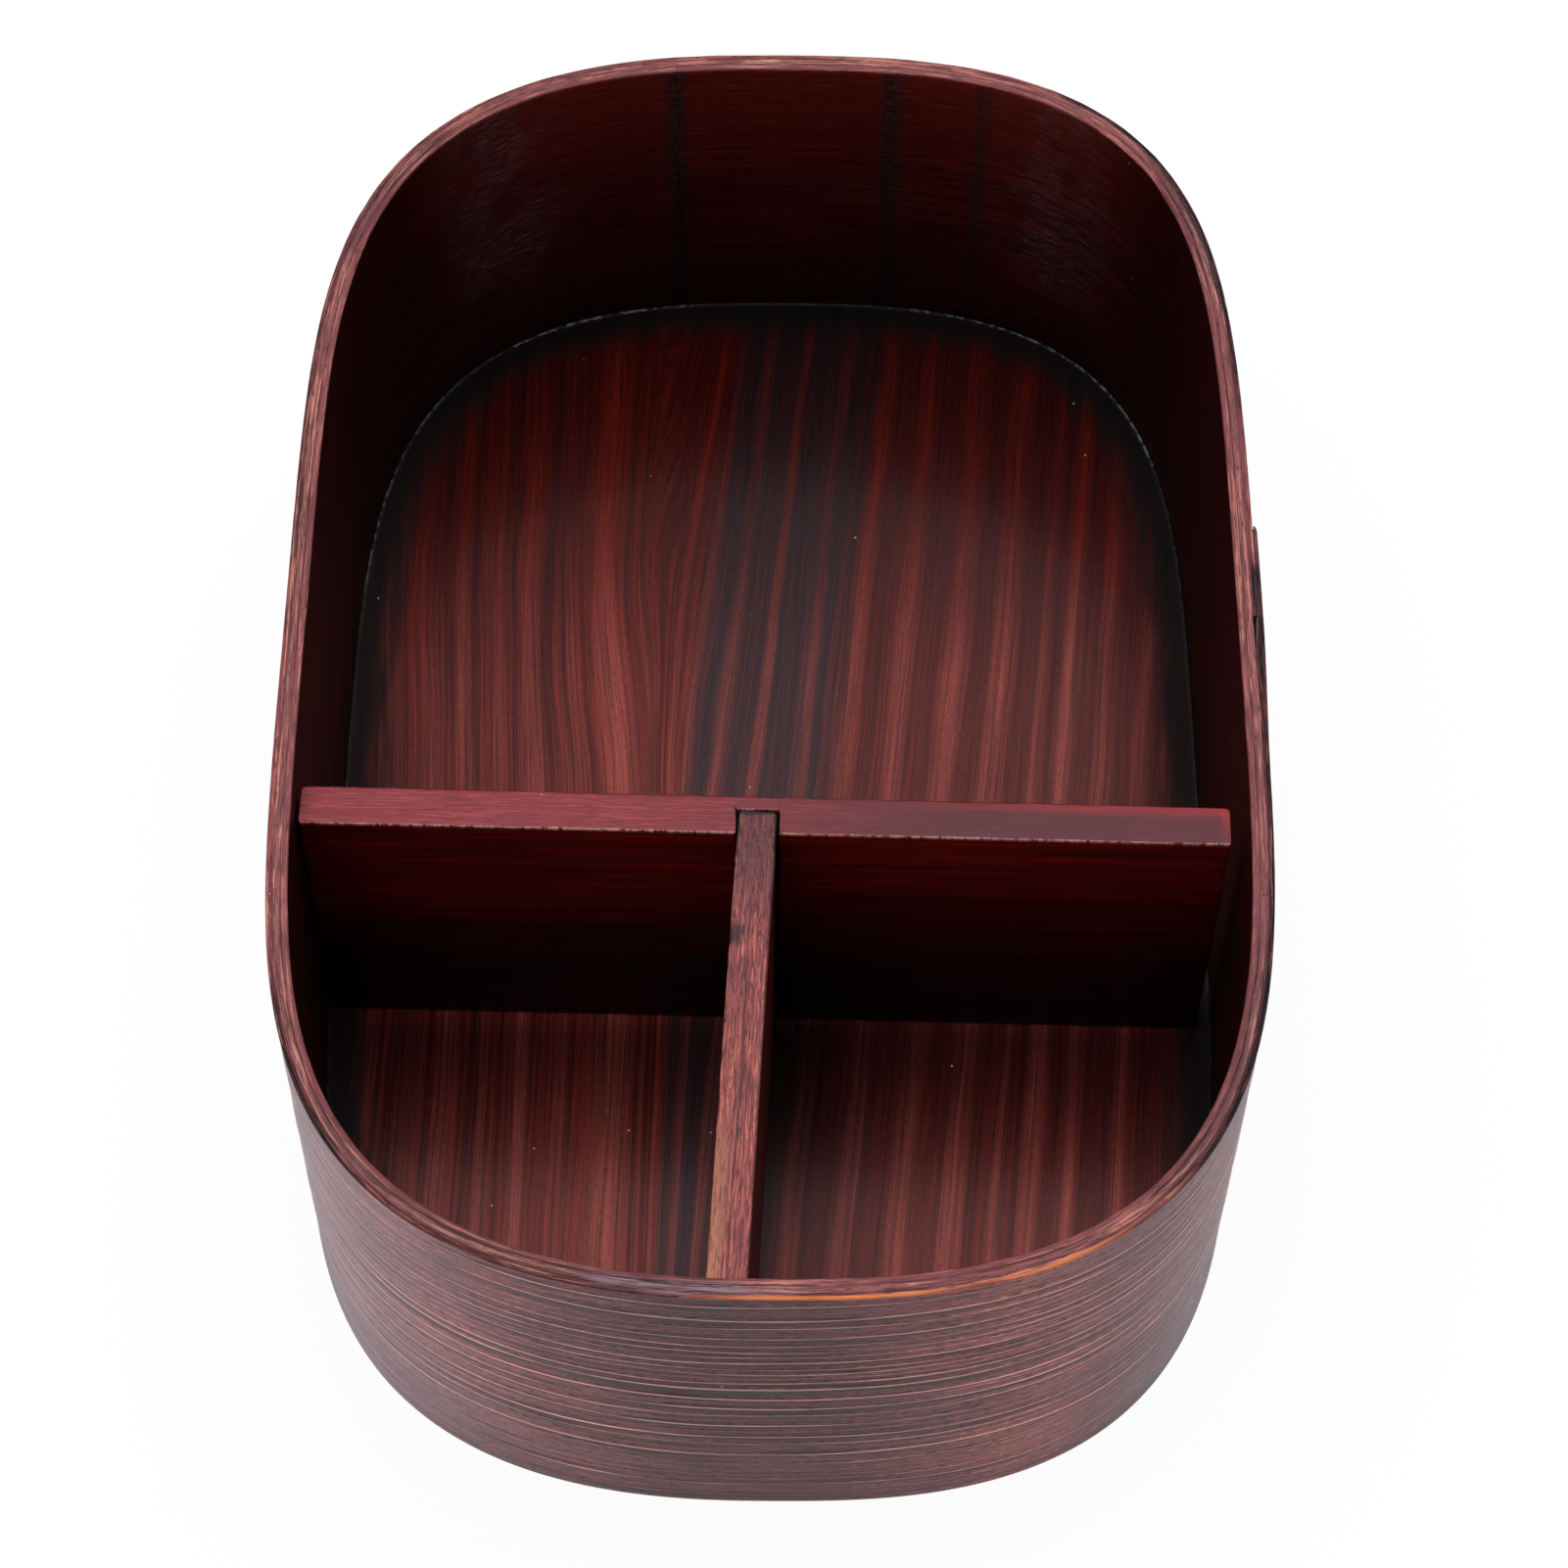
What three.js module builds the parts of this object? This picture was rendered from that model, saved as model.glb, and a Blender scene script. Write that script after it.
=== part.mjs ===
// An open bent-wood lunch box, with two loose boards that stand in it as a T.
// The wall is a hoop of three thin strips, one inside the other, glued round a floor board.
// Millimetres, +Z up. The box stands on z = 0 with its length along Y. The two small compartments
// are at the -Y end, and the outer strip's lap joint is on the +X side.
import * as THREE from "three";

// The box
const boxWidth = 122;
const boxLength = 189;
const boxHeight = 58;

// The wall's three strips, from the inside out
const innerPlyThickness = 0.9;
const middlePlyThickness = 0.85;
const outerPlyThickness = 0.8;
const glueLine = 0.08;

// The butt seams: the open gap, and how far round the outline each one lies
const seamGap = 0.3;
const innerSeamFromFarEnd = 14;
const middleSeamFromSide = -41;

// The outer strip's lap, measured back along the strip from its outer tip
const lapTipFromSide = 14;
const lapTipThickness = 0.38;
const lapTipLength = 4;
const lapHiddenLength = 14;
const lapHiddenThickness = 0.15;
const lapFullFrom = 10;
const lapRise = 0.55;
const lapFallFrom = 13;
const lapFallTo = 39;

// The floor board
const floorThickness = 5.5;
const floorRecess = 2.5;
const floorArris = 0.3;

// The board across the box
const crossThickness = 5.4;
const crossFromNearEnd = 64.4;
const crossEndPlay = 2.5;
const crossShift = -0.75;
const crossTurnDegrees = -1.2;
const crossCornerRadius = 1.2;

// The upright groove in its near face
const grooveDepth = 3.4;
const grooveFromMiddle = -0.85;
const grooveSidePlay = 0.25;

// The board along the near part of the box
const longThickness = 4.85;
const longTurnDegrees = -2.8;

// Both loose boards: how far their tops lie under the rim, the clearance under them and at the long one's
// ends, and their eased edges
const topsBelowRim = 4.1;
const standGap = 0.3;
const boardArris = 0.35;

// The outline is the curve |x / halfWidth|^endPower + |y / halfLength|^sidePower = 1.
// It was bent by hand, so each quarter has its own powers: far right, far left, near left, near right.
const quarterShares = [
  { endPower: 2.79, sidePower: 4.62 },
  { endPower: 2.51, sidePower: 4.29 },
  { endPower: 2.44, sidePower: 4.5 },
  { endPower: 2.66, sidePower: 4.33 },
];

// How finely the curves are cut: steps round the whole outline, and in one of the boards' round corners
const outlineSteps = 128;
const outlineSamples = 1600;
const cornerSteps = 4;
const halvings = 48;

const halfWidth = boxWidth / 2;
const halfLength = boxLength / 2;
const wallThickness = innerPlyThickness + middlePlyThickness + outerPlyThickness + 2 * glueLine;
const floorTop = floorRecess + floorThickness;
const looseBoardHeight = boxHeight - topsBelowRim - floorTop - standGap;

// The outer face of the hoop as a closed curve: t runs once round from the middle of the +X side.
class HoopCurve extends THREE.Curve {
  constructor() {
    super();
    this.arcLengthDivisions = outlineSamples;
  }

  quarterAt(t) {
    const turn = t - Math.floor(t);
    return quarterShares[Math.floor(turn * quarterShares.length)];
  }

  getPoint(t, target = new THREE.Vector3()) {
    const { endPower, sidePower } = this.quarterAt(t);
    const angle = 2 * Math.PI * t;
    const across = Math.abs(Math.cos(angle)) / halfWidth;
    const along = Math.abs(Math.sin(angle)) / halfLength;
    let inside = 0;
    let outside = boxWidth + boxLength;
    for (let i = 0; i < halvings; i++) {
      const radius = (inside + outside) / 2;
      const level = Math.pow(radius * across, endPower) + Math.pow(radius * along, sidePower);
      if (level < 1) inside = radius;
      else outside = radius;
    }
    return target.set(inside * Math.cos(angle), inside * Math.sin(angle), 0);
  }

  outwardAt(t) {
    const { endPower, sidePower } = this.quarterAt(t);
    const { x, y } = this.getPoint(t);
    const across = (endPower / halfWidth) * Math.pow(Math.abs(x) / halfWidth, endPower - 1);
    const along = (sidePower / halfLength) * Math.pow(Math.abs(y) / halfLength, sidePower - 1);
    return new THREE.Vector2(Math.sign(x) * across, Math.sign(y) * along).normalize();
  }
}

const hoop = new HoopCurve();
const hoopLength = hoop.getLength();
const farEndDistance = hoop.getLengths()[outlineSamples / quarterShares.length];

// The point that lies a distance round the hoop from the middle of the +X side, and an offset outwards.
function hoopPoint(distance, offset) {
  const wrapped = ((distance % hoopLength) + hoopLength) % hoopLength;
  const t = hoop.getUtoTmapping(0, wrapped);
  const point = hoop.getPoint(t);
  const outward = hoop.outwardAt(t);
  return new THREE.Vector2(point.x + offset * outward.x, point.y + offset * outward.y);
}

// How far the wall's inner face is from the middle at a given y, on the side with the given sign of x.
function innerHalfWidthAt(y, side) {
  let nearest = new THREE.Vector2();
  let miss = Infinity;
  for (let i = 0; i <= outlineSamples; i++) {
    const point = hoopPoint((i * hoopLength) / outlineSamples, -wallThickness);
    if (Math.sign(point.x) === side && Math.abs(point.y - y) < miss) {
      miss = Math.abs(point.y - y);
      nearest = point;
    }
  }
  return Math.abs(nearest.x);
}

function smoothStep(value, from, to) {
  const share = Math.min(Math.max((value - from) / (to - from), 0), 1);
  return share * share * (3 - 2 * share);
}

// A strip bent round the hoop and stood on edge. outerAt and innerAt give its two faces' offsets from the
// hoop's outer face, at a distance round.
function stripGeometry(start, end, outerAt, innerAt) {
  const steps = Math.ceil((outlineSteps * (end - start)) / hoopLength);
  const outerFace = [];
  const innerFace = [];
  for (let i = 0; i <= steps; i++) {
    const distance = start + ((end - start) * i) / steps;
    outerFace.push(hoopPoint(distance, outerAt(distance)));
    innerFace.push(hoopPoint(distance, innerAt(distance)));
  }
  const plan = new THREE.Shape([...outerFace, ...innerFace.reverse()]);
  return new THREE.ExtrudeGeometry(plan, { depth: boxHeight, bevelEnabled: false });
}

function buttedStrip(seam, outerOffset, thickness) {
  const start = seam + seamGap / 2;
  const end = seam + hoopLength - seamGap / 2;
  return stripGeometry(start, end, () => outerOffset, () => outerOffset - thickness);
}

// The outer strip starts at its hidden end, goes once round and ends outside its own start.
function lappedStrip() {
  const tip = lapTipFromSide + hoopLength;
  const start = lapTipFromSide - lapHiddenLength;
  const beforeTip = (distance) => tip - distance;
  const pastStart = (distance) => distance - start;

  const outerAt = (distance) => {
    const hidden = pastStart(distance);
    const taper = lapHiddenLength - lapTipLength;
    if (hidden < taper) {
      const thickness = lapHiddenThickness + (outerPlyThickness - lapHiddenThickness) * (hidden / taper);
      return thickness - outerPlyThickness;
    }
    return lapRise * (1 - smoothStep(beforeTip(distance), lapFallFrom, lapFallTo));
  };
  const innerAt = (distance) => {
    const back = beforeTip(distance);
    if (back > lapFallTo) return -outerPlyThickness;
    const tipShare = smoothStep(back, lapTipLength, lapFullFrom);
    const thickness = lapTipThickness + (outerPlyThickness - lapTipThickness) * tipShare;
    return outerAt(distance) - thickness;
  };
  return stripGeometry(start, tip, outerAt, innerAt);
}

function floorGeometry() {
  const plan = [];
  for (let i = 0; i < outlineSteps; i++) {
    plan.push(hoopPoint((i * hoopLength) / outlineSteps, -wallThickness - glueLine));
  }
  return boardGeometry(new THREE.Shape(plan), floorThickness, floorArris);
}

// A flat board with eased edges, from its plan: it stands on its own z = 0.
function boardGeometry(plan, height, arris) {
  const geometry = new THREE.ExtrudeGeometry(plan, {
    depth: height - 2 * arris,
    bevelThickness: arris,
    bevelSize: arris,
    bevelOffset: -arris,
    bevelSegments: 1,
    curveSegments: cornerSteps,
  });
  return geometry.translate(0, 0, arris);
}

// The cross board's plan: corners rounded at the ends of its far face, the groove in its near face.
function crossPlan() {
  const end = crossLength / 2;
  const face = crossThickness / 2;
  const grooveLeft = grooveFromMiddle - grooveWidth / 2;
  const grooveRight = grooveFromMiddle + grooveWidth / 2;
  const plan = new THREE.Shape();
  plan.moveTo(-end, -face);
  plan.lineTo(grooveLeft, -face);
  plan.lineTo(grooveLeft, -face + grooveDepth);
  plan.lineTo(grooveRight, -face + grooveDepth);
  plan.lineTo(grooveRight, -face);
  plan.lineTo(end, -face);
  plan.lineTo(end, face - crossCornerRadius);
  plan.quadraticCurveTo(end, face, end - crossCornerRadius, face);
  plan.lineTo(-end + crossCornerRadius, face);
  plan.quadraticCurveTo(-end, face, -end, face - crossCornerRadius);
  plan.closePath();
  return plan;
}

// The long board's plan, from its end in the groove, at its own origin, back along -Y.
function longPlan() {
  const side = longThickness / 2;
  const plan = new THREE.Shape();
  plan.moveTo(-side, -longLength);
  plan.lineTo(side, -longLength);
  plan.lineTo(side, 0);
  plan.lineTo(-side, 0);
  plan.closePath();
  return plan;
}

function stained(color, roughness) {
  return new THREE.MeshStandardMaterial({ color, roughness, metalness: 0 });
}

function piece(name, geometry, material) {
  const mesh = new THREE.Mesh(geometry, material);
  mesh.name = name;
  return mesh;
}

// Where the loose boards stand
const crossY = crossFromNearEnd + crossThickness / 2 - halfLength;
const crossTurn = THREE.MathUtils.degToRad(crossTurnDegrees);
const crossRoom = innerHalfWidthAt(crossY, -1) + innerHalfWidthAt(crossY, 1);
const crossLength = crossRoom - crossEndPlay;
const grooveWidth = longThickness + 2 * grooveSidePlay;
const longTurn = THREE.MathUtils.degToRad(longTurnDegrees);
const grooveFloor = new THREE.Vector2(grooveFromMiddle, grooveDepth - crossThickness / 2)
  .rotateAround(new THREE.Vector2(), crossTurn)
  .add(new THREE.Vector2(crossShift, crossY));
const longStart = grooveFloor.y - standGap;
const longTilt = (longThickness / 2) * Math.abs(Math.sin(longTurn));
const longRoom = longStart + halfLength - wallThickness - standGap - longTilt;
const longLength = longRoom / Math.cos(longTurn);

// The lap makes the +X side stand out, so everything moves over to keep the whole box centred.
const lunchBox = new THREE.Group();
lunchBox.position.x = -lapRise / 2;

const middlePlyFace = -outerPlyThickness - glueLine;
const middleStrip = buttedStrip(middleSeamFromSide, middlePlyFace, middlePlyThickness);
const innerPlyFace = middlePlyFace - middlePlyThickness - glueLine;
const innerStrip = buttedStrip(farEndDistance + innerSeamFromFarEnd, innerPlyFace, innerPlyThickness);
lunchBox.add(
  piece("outer_ply", lappedStrip(), stained(0x6e4b49, 0.62)),
  piece("middle_ply", middleStrip, stained(0xb4756a, 0.6)),
  piece("inner_ply", innerStrip, stained(0x5a1d17, 0.45)),
);

const floorBoard = piece("floor_board", floorGeometry(), stained(0x6b382f, 0.5));
floorBoard.position.z = floorRecess;
lunchBox.add(floorBoard);

const crossBoard = new THREE.Group();
crossBoard.position.set(crossShift, crossY, floorTop + standGap);
crossBoard.rotation.z = crossTurn;
crossBoard.add(
  piece("cross_divider", boardGeometry(crossPlan(), looseBoardHeight, boardArris), stained(0x7d2b2e, 0.5)),
);
lunchBox.add(crossBoard);

const longBoard = new THREE.Group();
longBoard.position.set(grooveFloor.x, longStart, floorTop + standGap);
longBoard.rotation.z = longTurn;
longBoard.add(
  piece("long_divider", boardGeometry(longPlan(), looseBoardHeight, boardArris), stained(0x9a5552, 0.6)),
);
lunchBox.add(longBoard);

export default lunchBox;
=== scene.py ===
import math

import bmesh
import bpy
import numpy as np
from mathutils import Matrix, Vector


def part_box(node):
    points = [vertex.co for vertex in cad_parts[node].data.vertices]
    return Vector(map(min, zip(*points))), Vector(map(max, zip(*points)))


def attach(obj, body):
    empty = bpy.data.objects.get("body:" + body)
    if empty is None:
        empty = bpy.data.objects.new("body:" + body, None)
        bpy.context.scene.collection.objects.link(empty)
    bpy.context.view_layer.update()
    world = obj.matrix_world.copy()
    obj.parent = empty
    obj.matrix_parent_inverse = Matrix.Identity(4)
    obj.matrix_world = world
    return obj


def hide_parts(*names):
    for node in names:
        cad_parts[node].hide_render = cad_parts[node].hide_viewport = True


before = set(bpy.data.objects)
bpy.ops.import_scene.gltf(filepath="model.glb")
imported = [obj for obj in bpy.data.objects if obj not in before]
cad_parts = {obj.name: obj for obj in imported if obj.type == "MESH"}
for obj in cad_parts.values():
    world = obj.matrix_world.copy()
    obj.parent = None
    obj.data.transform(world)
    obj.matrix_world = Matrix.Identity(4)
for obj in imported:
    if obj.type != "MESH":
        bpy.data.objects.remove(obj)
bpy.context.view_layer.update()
mm = 0.001


def boxInMm(node):
    low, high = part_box(node)
    return low / mm, high / mm


# The outline that the three strips are bent to. All sizes are millimetres, but the studio's are metres.
# It is |x / half width| ^ first power + |y / half length| ^ second power = 1, with its own powers in each
# quarter (far right, far left, near left, near right), as read off the rim.
hoop = {
    "lapRise": 0.55,
    "powerShares": [(2.79, 4.62), (2.51, 4.29), (2.44, 4.5), (2.66, 4.33)],
    "samples": 4000,
    "wall": 2.71,
}
outerLow, outerHigh = boxInMm("outer_ply")
halfWidth = (outerHigh.x - outerLow.x - hoop["lapRise"]) / 2
halfLength = min(outerHigh.y, -outerLow.y)
middleX = outerLow.x + halfWidth
rimHeight = outerHigh.z


def traceHoop():
    turn = np.linspace(0, 1, hoop["samples"] + 1)
    angle = 2 * np.pi * turn
    quarter = np.minimum((turn * 4).astype(int), 3)
    endPower, sidePower = np.array(hoop["powerShares"])[quarter].T
    across = np.abs(np.cos(angle)) / halfWidth
    along = np.abs(np.sin(angle)) / halfLength
    inside = np.zeros_like(angle)
    outside = np.full_like(angle, halfWidth + halfLength)
    for _ in range(50):
        radius = (inside + outside) / 2
        within = (radius * across) ** endPower + (radius * along) ** sidePower < 1
        inside = np.where(within, radius, inside)
        outside = np.where(within, outside, radius)
    x, y = inside * np.cos(angle), inside * np.sin(angle)
    outX = np.sign(x) * endPower / halfWidth * (np.abs(x) / halfWidth) ** (endPower - 1)
    outY = np.sign(y) * sidePower / halfLength * (np.abs(y) / halfLength) ** (sidePower - 1)
    size = np.hypot(outX, outY)
    steps = np.hypot(np.diff(x), np.diff(y))
    return {
        "x": x,
        "y": y,
        "outX": outX / size,
        "outY": outY / size,
        "distance": np.concatenate([[0], np.cumsum(steps)]),
    }


hoopLine = traceHoop()
hoopLength = hoopLine["distance"][-1]
farEnd = hoopLine["distance"][hoop["samples"] // 4]


def onHoop(distance, offset):
    # places a distance round the hoop from the middle of its right side, moved outwards by offset
    wrapped = np.mod(distance, hoopLength)
    lines = (hoopLine[name] for name in ("x", "y", "outX", "outY"))
    x, y, outX, outY = (np.interp(wrapped, hoopLine["distance"], line) for line in lines)
    return x + middleX + offset * outX, y + offset * outY


def hoopDistance(x, y):
    # how far round the hoop the point nearest to (x, y) lies
    nearest = np.argmin(np.hypot(hoopLine["x"] - x, hoopLine["y"] - y))
    return hoopLine["distance"][nearest]


def ease(value, start, end):
    share = np.clip((value - start) / (end - start), 0, 1)
    return share * share * (3 - 2 * share)


def wander(places, step, seed, count=257):
    # a smooth random line from -1 to 1 that turns about every step
    knots = np.random.RandomState(seed).uniform(-1, 1, count)
    at = np.asarray(places) / step + 64
    whole = np.floor(at).astype(int)
    part = at - whole
    part = part * part * (3 - 2 * part)
    return knots[whole % count] * (1 - part) + knots[(whole + 1) % count] * part


def stretch(distance, start, end, soft):
    # 1 from start to end along a strip, with soft ends; distances may have gone once round
    middle = (start + end) / 2
    half = abs(end - start) / 2
    away = np.abs(np.mod(distance - middle + hoopLength / 2, hoopLength) - hoopLength / 2)
    return 1 - ease(away, half - soft / 2, half + soft / 2)


def marked(distance, stretches, soft):
    # the strengths of stretches that are given as from, to (x, y) and strength
    return sum(
        strength * stretch(distance, hoopDistance(*start), hoopDistance(*end), soft)
        for start, end, strength in stretches
    )


# Meshes

def intoScene(name, data):
    thing = bpy.data.objects.new(name, data)
    bpy.context.scene.collection.objects.link(thing)
    return thing


def finishMesh(name, places, faces, grain, marks):
    # Grain holds each point's place in the flat, unbent wood. Marks hold three amounts for the stains: rim,
    # raised line and wear on a strip or board, and crust, bead and distance from the edge on the floor.
    mesh = bpy.data.meshes.new(name)
    mesh.from_pydata((np.asarray(places) * mm).tolist(), [], faces)
    for label, values in (("grain", grain), ("marks", marks)):
        layer = mesh.attributes.new(label, "FLOAT_VECTOR", "POINT")
        layer.data.foreach_set("vector", np.asarray(values, np.float32).ravel())
    shell = bmesh.new()
    shell.from_mesh(mesh)
    bmesh.ops.recalc_face_normals(shell, faces=shell.faces)
    shell.to_mesh(mesh)
    shell.free()
    mesh.shade_smooth()
    mesh.set_sharp_from_angle(angle=math.radians(42))
    return intoScene(name, mesh)


def roundSection(piece, stations, faces, heights, rows, tops):
    # One loop round a strip's section at each station: up the front face, over the top, down the back face.
    # Each column is (offset, height, height in the grain, rim, ridge). Tops are the two upper edges' radii.
    # A piece's rim holds the steps across its top, how far it dips, the length of its waves and a seed.
    (outer, inner), (low, high), (frontRows, backRows), (topOut, topIn) = faces, heights, rows, tops
    blank = np.zeros_like(outer)
    columns = []
    for height, grainHeight, relief, ridge in frontRows:
        columns.append((outer + relief, height + blank, grainHeight + blank, blank, ridge + blank))
    foot = np.minimum(piece["foot"], (outer - inner) * 0.3)
    turns = np.radians([18, 45, 72])

    def roundEdge(face, inwards, radius, angles, atTop):
        for a in angles:
            offset = face + inwards * radius * (1 - math.cos(a))
            rise = radius * (1 - math.sin(a))
            if atTop:
                columns.append((offset, high - rise, high - rise, blank + math.sin(a), blank))
            else:
                columns.append((offset, low + rise, low + blank, blank, blank))

    roundEdge(outer, -1, topOut, turns, True)
    steps, dip, wave, seed = piece["rim"]
    for k in range(steps + 1):
        offset = (outer - topOut) * (1 - k / steps) + (inner + topIn) * (k / steps)
        relief = -dip - dip * wander(stations, wave, seed + k) if k not in (0, steps) else 0
        columns.append((offset, high + relief + blank, high + blank, blank + 1, blank))
    roundEdge(inner, 1, topIn, turns[::-1], True)
    for height, grainHeight, relief, ridge in backRows:
        columns.append((inner + relief, height + blank, grainHeight + blank, blank, ridge + blank))
    roundEdge(inner, 1, foot, turns, False)
    roundEdge(outer, -1, foot, turns[::-1], False)
    return [np.stack(part, axis=1) for part in zip(*columns)]


def loopFaces(count, around):
    # quads between count loops of points, and a face that closes the first and the last loop
    index = np.arange(count * around).reshape(count, around)
    beside = np.roll(index, -1, axis=1)
    quads = np.stack([index[:-1], index[1:], beside[1:], beside[:-1]], axis=2).reshape(-1, 4)
    return quads.tolist() + [index[0].tolist(), index[-1].tolist()]


def stripMesh(name, stations, place, section, worn):
    # sweeps the section loops along the stations and closes both ends
    offset, height, grainHeight, rim, ridge = section
    count, around = offset.shape
    along = np.repeat(stations[:, None], around, axis=1)
    x, y = place(along, offset)
    places = np.stack([x, y, height], axis=2).reshape(-1, 3)
    grain = np.stack([along, offset, grainHeight], axis=2).reshape(-1, 3)
    wornAt = np.repeat(worn[:, None], around, axis=1)
    marks = np.stack([rim, ridge, wornAt], axis=2).reshape(-1, 3)
    return finishMesh(name, places, loopFaces(count, around), grain, marks)


def plainRows(low, high, count, relief=None, fromTop=False):
    shares = np.linspace(0, 1, count)
    heights = low + (high - low) * (shares[::-1] if fromTop else shares)
    return [(h, h, relief(h) if relief else 0, 0) for h in heights]


# The outer strip: scarfed ends that lap on the right side, and raised grain all round

outerPly = {
    "thickness": 0.8,
    "arris": 0.3,
    "foot": 0.12,
    "rim": (4, 0.03, 2.4, 20),
    "tipAt": 14,
    "tipThickness": 0.38,
    "tipLength": 4,
    "fullFrom": 10,
    "hiddenLength": 14,
    "fallFrom": 13,
    "fallTo": 39,
    "lapGap": 0.03,
    # the very tip is rounded down by this much over this length
    "tipDrop": 0.3,
    "tipDropLength": 0.9,
    # under the lap the strip's inner face lifts over this length, which leaves a dark slot on the rim
    "slotLength": 9,
    # raised lines of the grain on the near end: height and strength
    "ribs": [
        (1.8, 0.35), (3.4, 0.2), (5.1, 0.6), (6.5, 0.35), (7.9, 0.35), (9.4, 0.4), (11.2, 0.45), (12.6, 0.2),
        (14.1, 0.95), (15.6, 0.25), (17.2, 0.6), (19.2, 1), (20.9, 0.25), (22.6, 0.9), (24, 0.2),
        (25.4, 0.65), (27.5, 0.9), (29, 0.2), (30.2, 1), (33, 1), (34.8, 0.9), (36, 0.25),
        (37.2, 0.6), (38.6, 0.85), (40.3, 0.9), (42, 0.5), (43.3, 0.75), (45, 0.55), (47, 0.75),
        (48.4, 0.25), (49.8, 0.7), (51.8, 0.7), (53.6, 0.25), (55.3, 0.6), (57.3, 0.4), (59.2, 0.6),
    ],
    # how far the lines rise and fall round the hoop: distance round and height
    "ribDrift": [
        (0, 0.4), (50, -0.9), (100, 0.5), (160, -0.6), (215, 0.7), (265, -0.5), (300, 0.2), (322, -0.9),
        (345, 0.3), (372, 0.9), (400, 0), (428, 1.3), (455, 0.3), (474, -1.1), (505, 0.2), (537, 0.4),
    ],
    # one rib's section: height from its crest and rise; the side below the crest is the steep one
    "ribSection": [(-0.27, -0.3), (-0.09, 0.45), (0.02, 1), (0.16, 0.4), (0.42, 0)],
    "ribRise": 0.165,
    # below 1 the weaker lines come out more like the strong ones
    "ribEvenness": 0.6,
    # points along the strip: closer together for this far from its start and from its end
    "step": 1.3,
    "fineStep": 0.5,
    "fineStart": 18,
    "fineEnd": 44,
    # where the strip has come loose from the next one: from, to (x, y) and the gap's width
    "loose": [
        ((39.7, 86.3), (43.3, 84.5), 0.1),
        ((52.6, 74), (59.3, 50), 0.2),
        ((-55.5, 65), (-51.5, 72), 0.14),
    ],
    # where the top outer edge is rubbed down to bare orange wood: from, to and strength
    "rubbed": [((-2, -94.5), (40, -85.6), 1), ((-50, -76), (-2, -94.5), 0.45)],
    # where the stain on that edge is thick and dark: distances round the hoop and strength
    "dusky": [(33, 97, 0.9), (193, 262, 0.55), (322, 392, 1), (456, 546, 1)],
}


def outerStations():
    start, end = outerPly["tipAt"] - outerPly["hiddenLength"], outerPly["tipAt"] + hoopLength
    coarseFrom, coarseTo = start + outerPly["fineStart"], end - outerPly["fineEnd"]
    fine = outerPly["fineStep"]
    return np.concatenate([
        np.arange(start, coarseFrom, fine),
        np.arange(coarseFrom, coarseTo, outerPly["step"]),
        np.arange(coarseTo, end - 1.2, fine),
        end - np.array([0.9, 0.55, 0.3, 0.12, 0]),
    ])


def scarf(fromTip):
    # how thick the strip is at this distance from its tip
    tip, full = outerPly["tipThickness"], outerPly["thickness"]
    return tip + (full - tip) * ease(fromTip, outerPly["tipLength"], outerPly["fullFrom"])


def outerFaces(stations):
    ply = outerPly
    thickness, lapBack = ply["thickness"], ply["hiddenLength"]
    back = ply["tipAt"] + hoopLength - stations
    past = stations - stations[0]
    rise = hoop["lapRise"] * (1 - ease(back, ply["fallFrom"], ply["fallTo"]))
    slot = 1 - ease(back, lapBack, lapBack + ply["slotLength"])
    inner = np.where(back < lapBack, rise - scarf(back), -thickness + slot * hoop["lapRise"])
    # the hidden end fills the space below the lap
    hidden = np.minimum(hoop["lapRise"] - scarf(lapBack - past) - ply["lapGap"], 0)
    outer = np.where(past < lapBack, hidden, rise)
    inner = np.where(past < lapBack, -thickness, inner)
    outer = outer - ply["tipDrop"] * (1 - np.clip(back / ply["tipDropLength"], 0, 1)) ** 2
    return outer, inner + marked(stations, ply["loose"], 5)


def ribRows(stations):
    # rows of points that follow each raised line; lines that drift above the rim are squeezed out there
    ply = outerPly
    wrapped = np.mod(stations, hoopLength)
    knots = np.array(ply["ribDrift"])
    drift = sum(np.interp(wrapped + shift, *knots.T) for shift in (-8, -4, 0, 4, 8)) / 5
    top, foot = rimHeight - ply["arris"] - 0.05, 0.3
    away = np.array(ply["ribSection"])
    count = len(ply["ribs"]) * len(away)
    rows = []
    for number, (centre, strength) in enumerate(ply["ribs"]):
        line = centre + drift * ease(centre, 0, 12) + 0.14 * wander(stations, 15, 40 + number)
        vary = 0.8 + 0.28 * wander(stations, 19, 90 + number) + 0.12 * wander(stations, 4, 130 + number)
        vary = vary * strength ** ply["ribEvenness"]
        if centre < 12:
            vary = vary * (0.8 + 0.4 * wander(stations, 9, 170 + number))
        for k, (shift, rise) in enumerate(away):
            place = len(rows)
            highest = top - 0.004 * (count - place)
            height = np.clip(line + shift, foot + 0.004 * place, highest)
            ridge = np.where(line + shift > highest, 0, rise * np.clip(vary, 0, 1))
            rows.append((height, height, ply["ribRise"] * (ridge - 1), ridge))
    return rows


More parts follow.
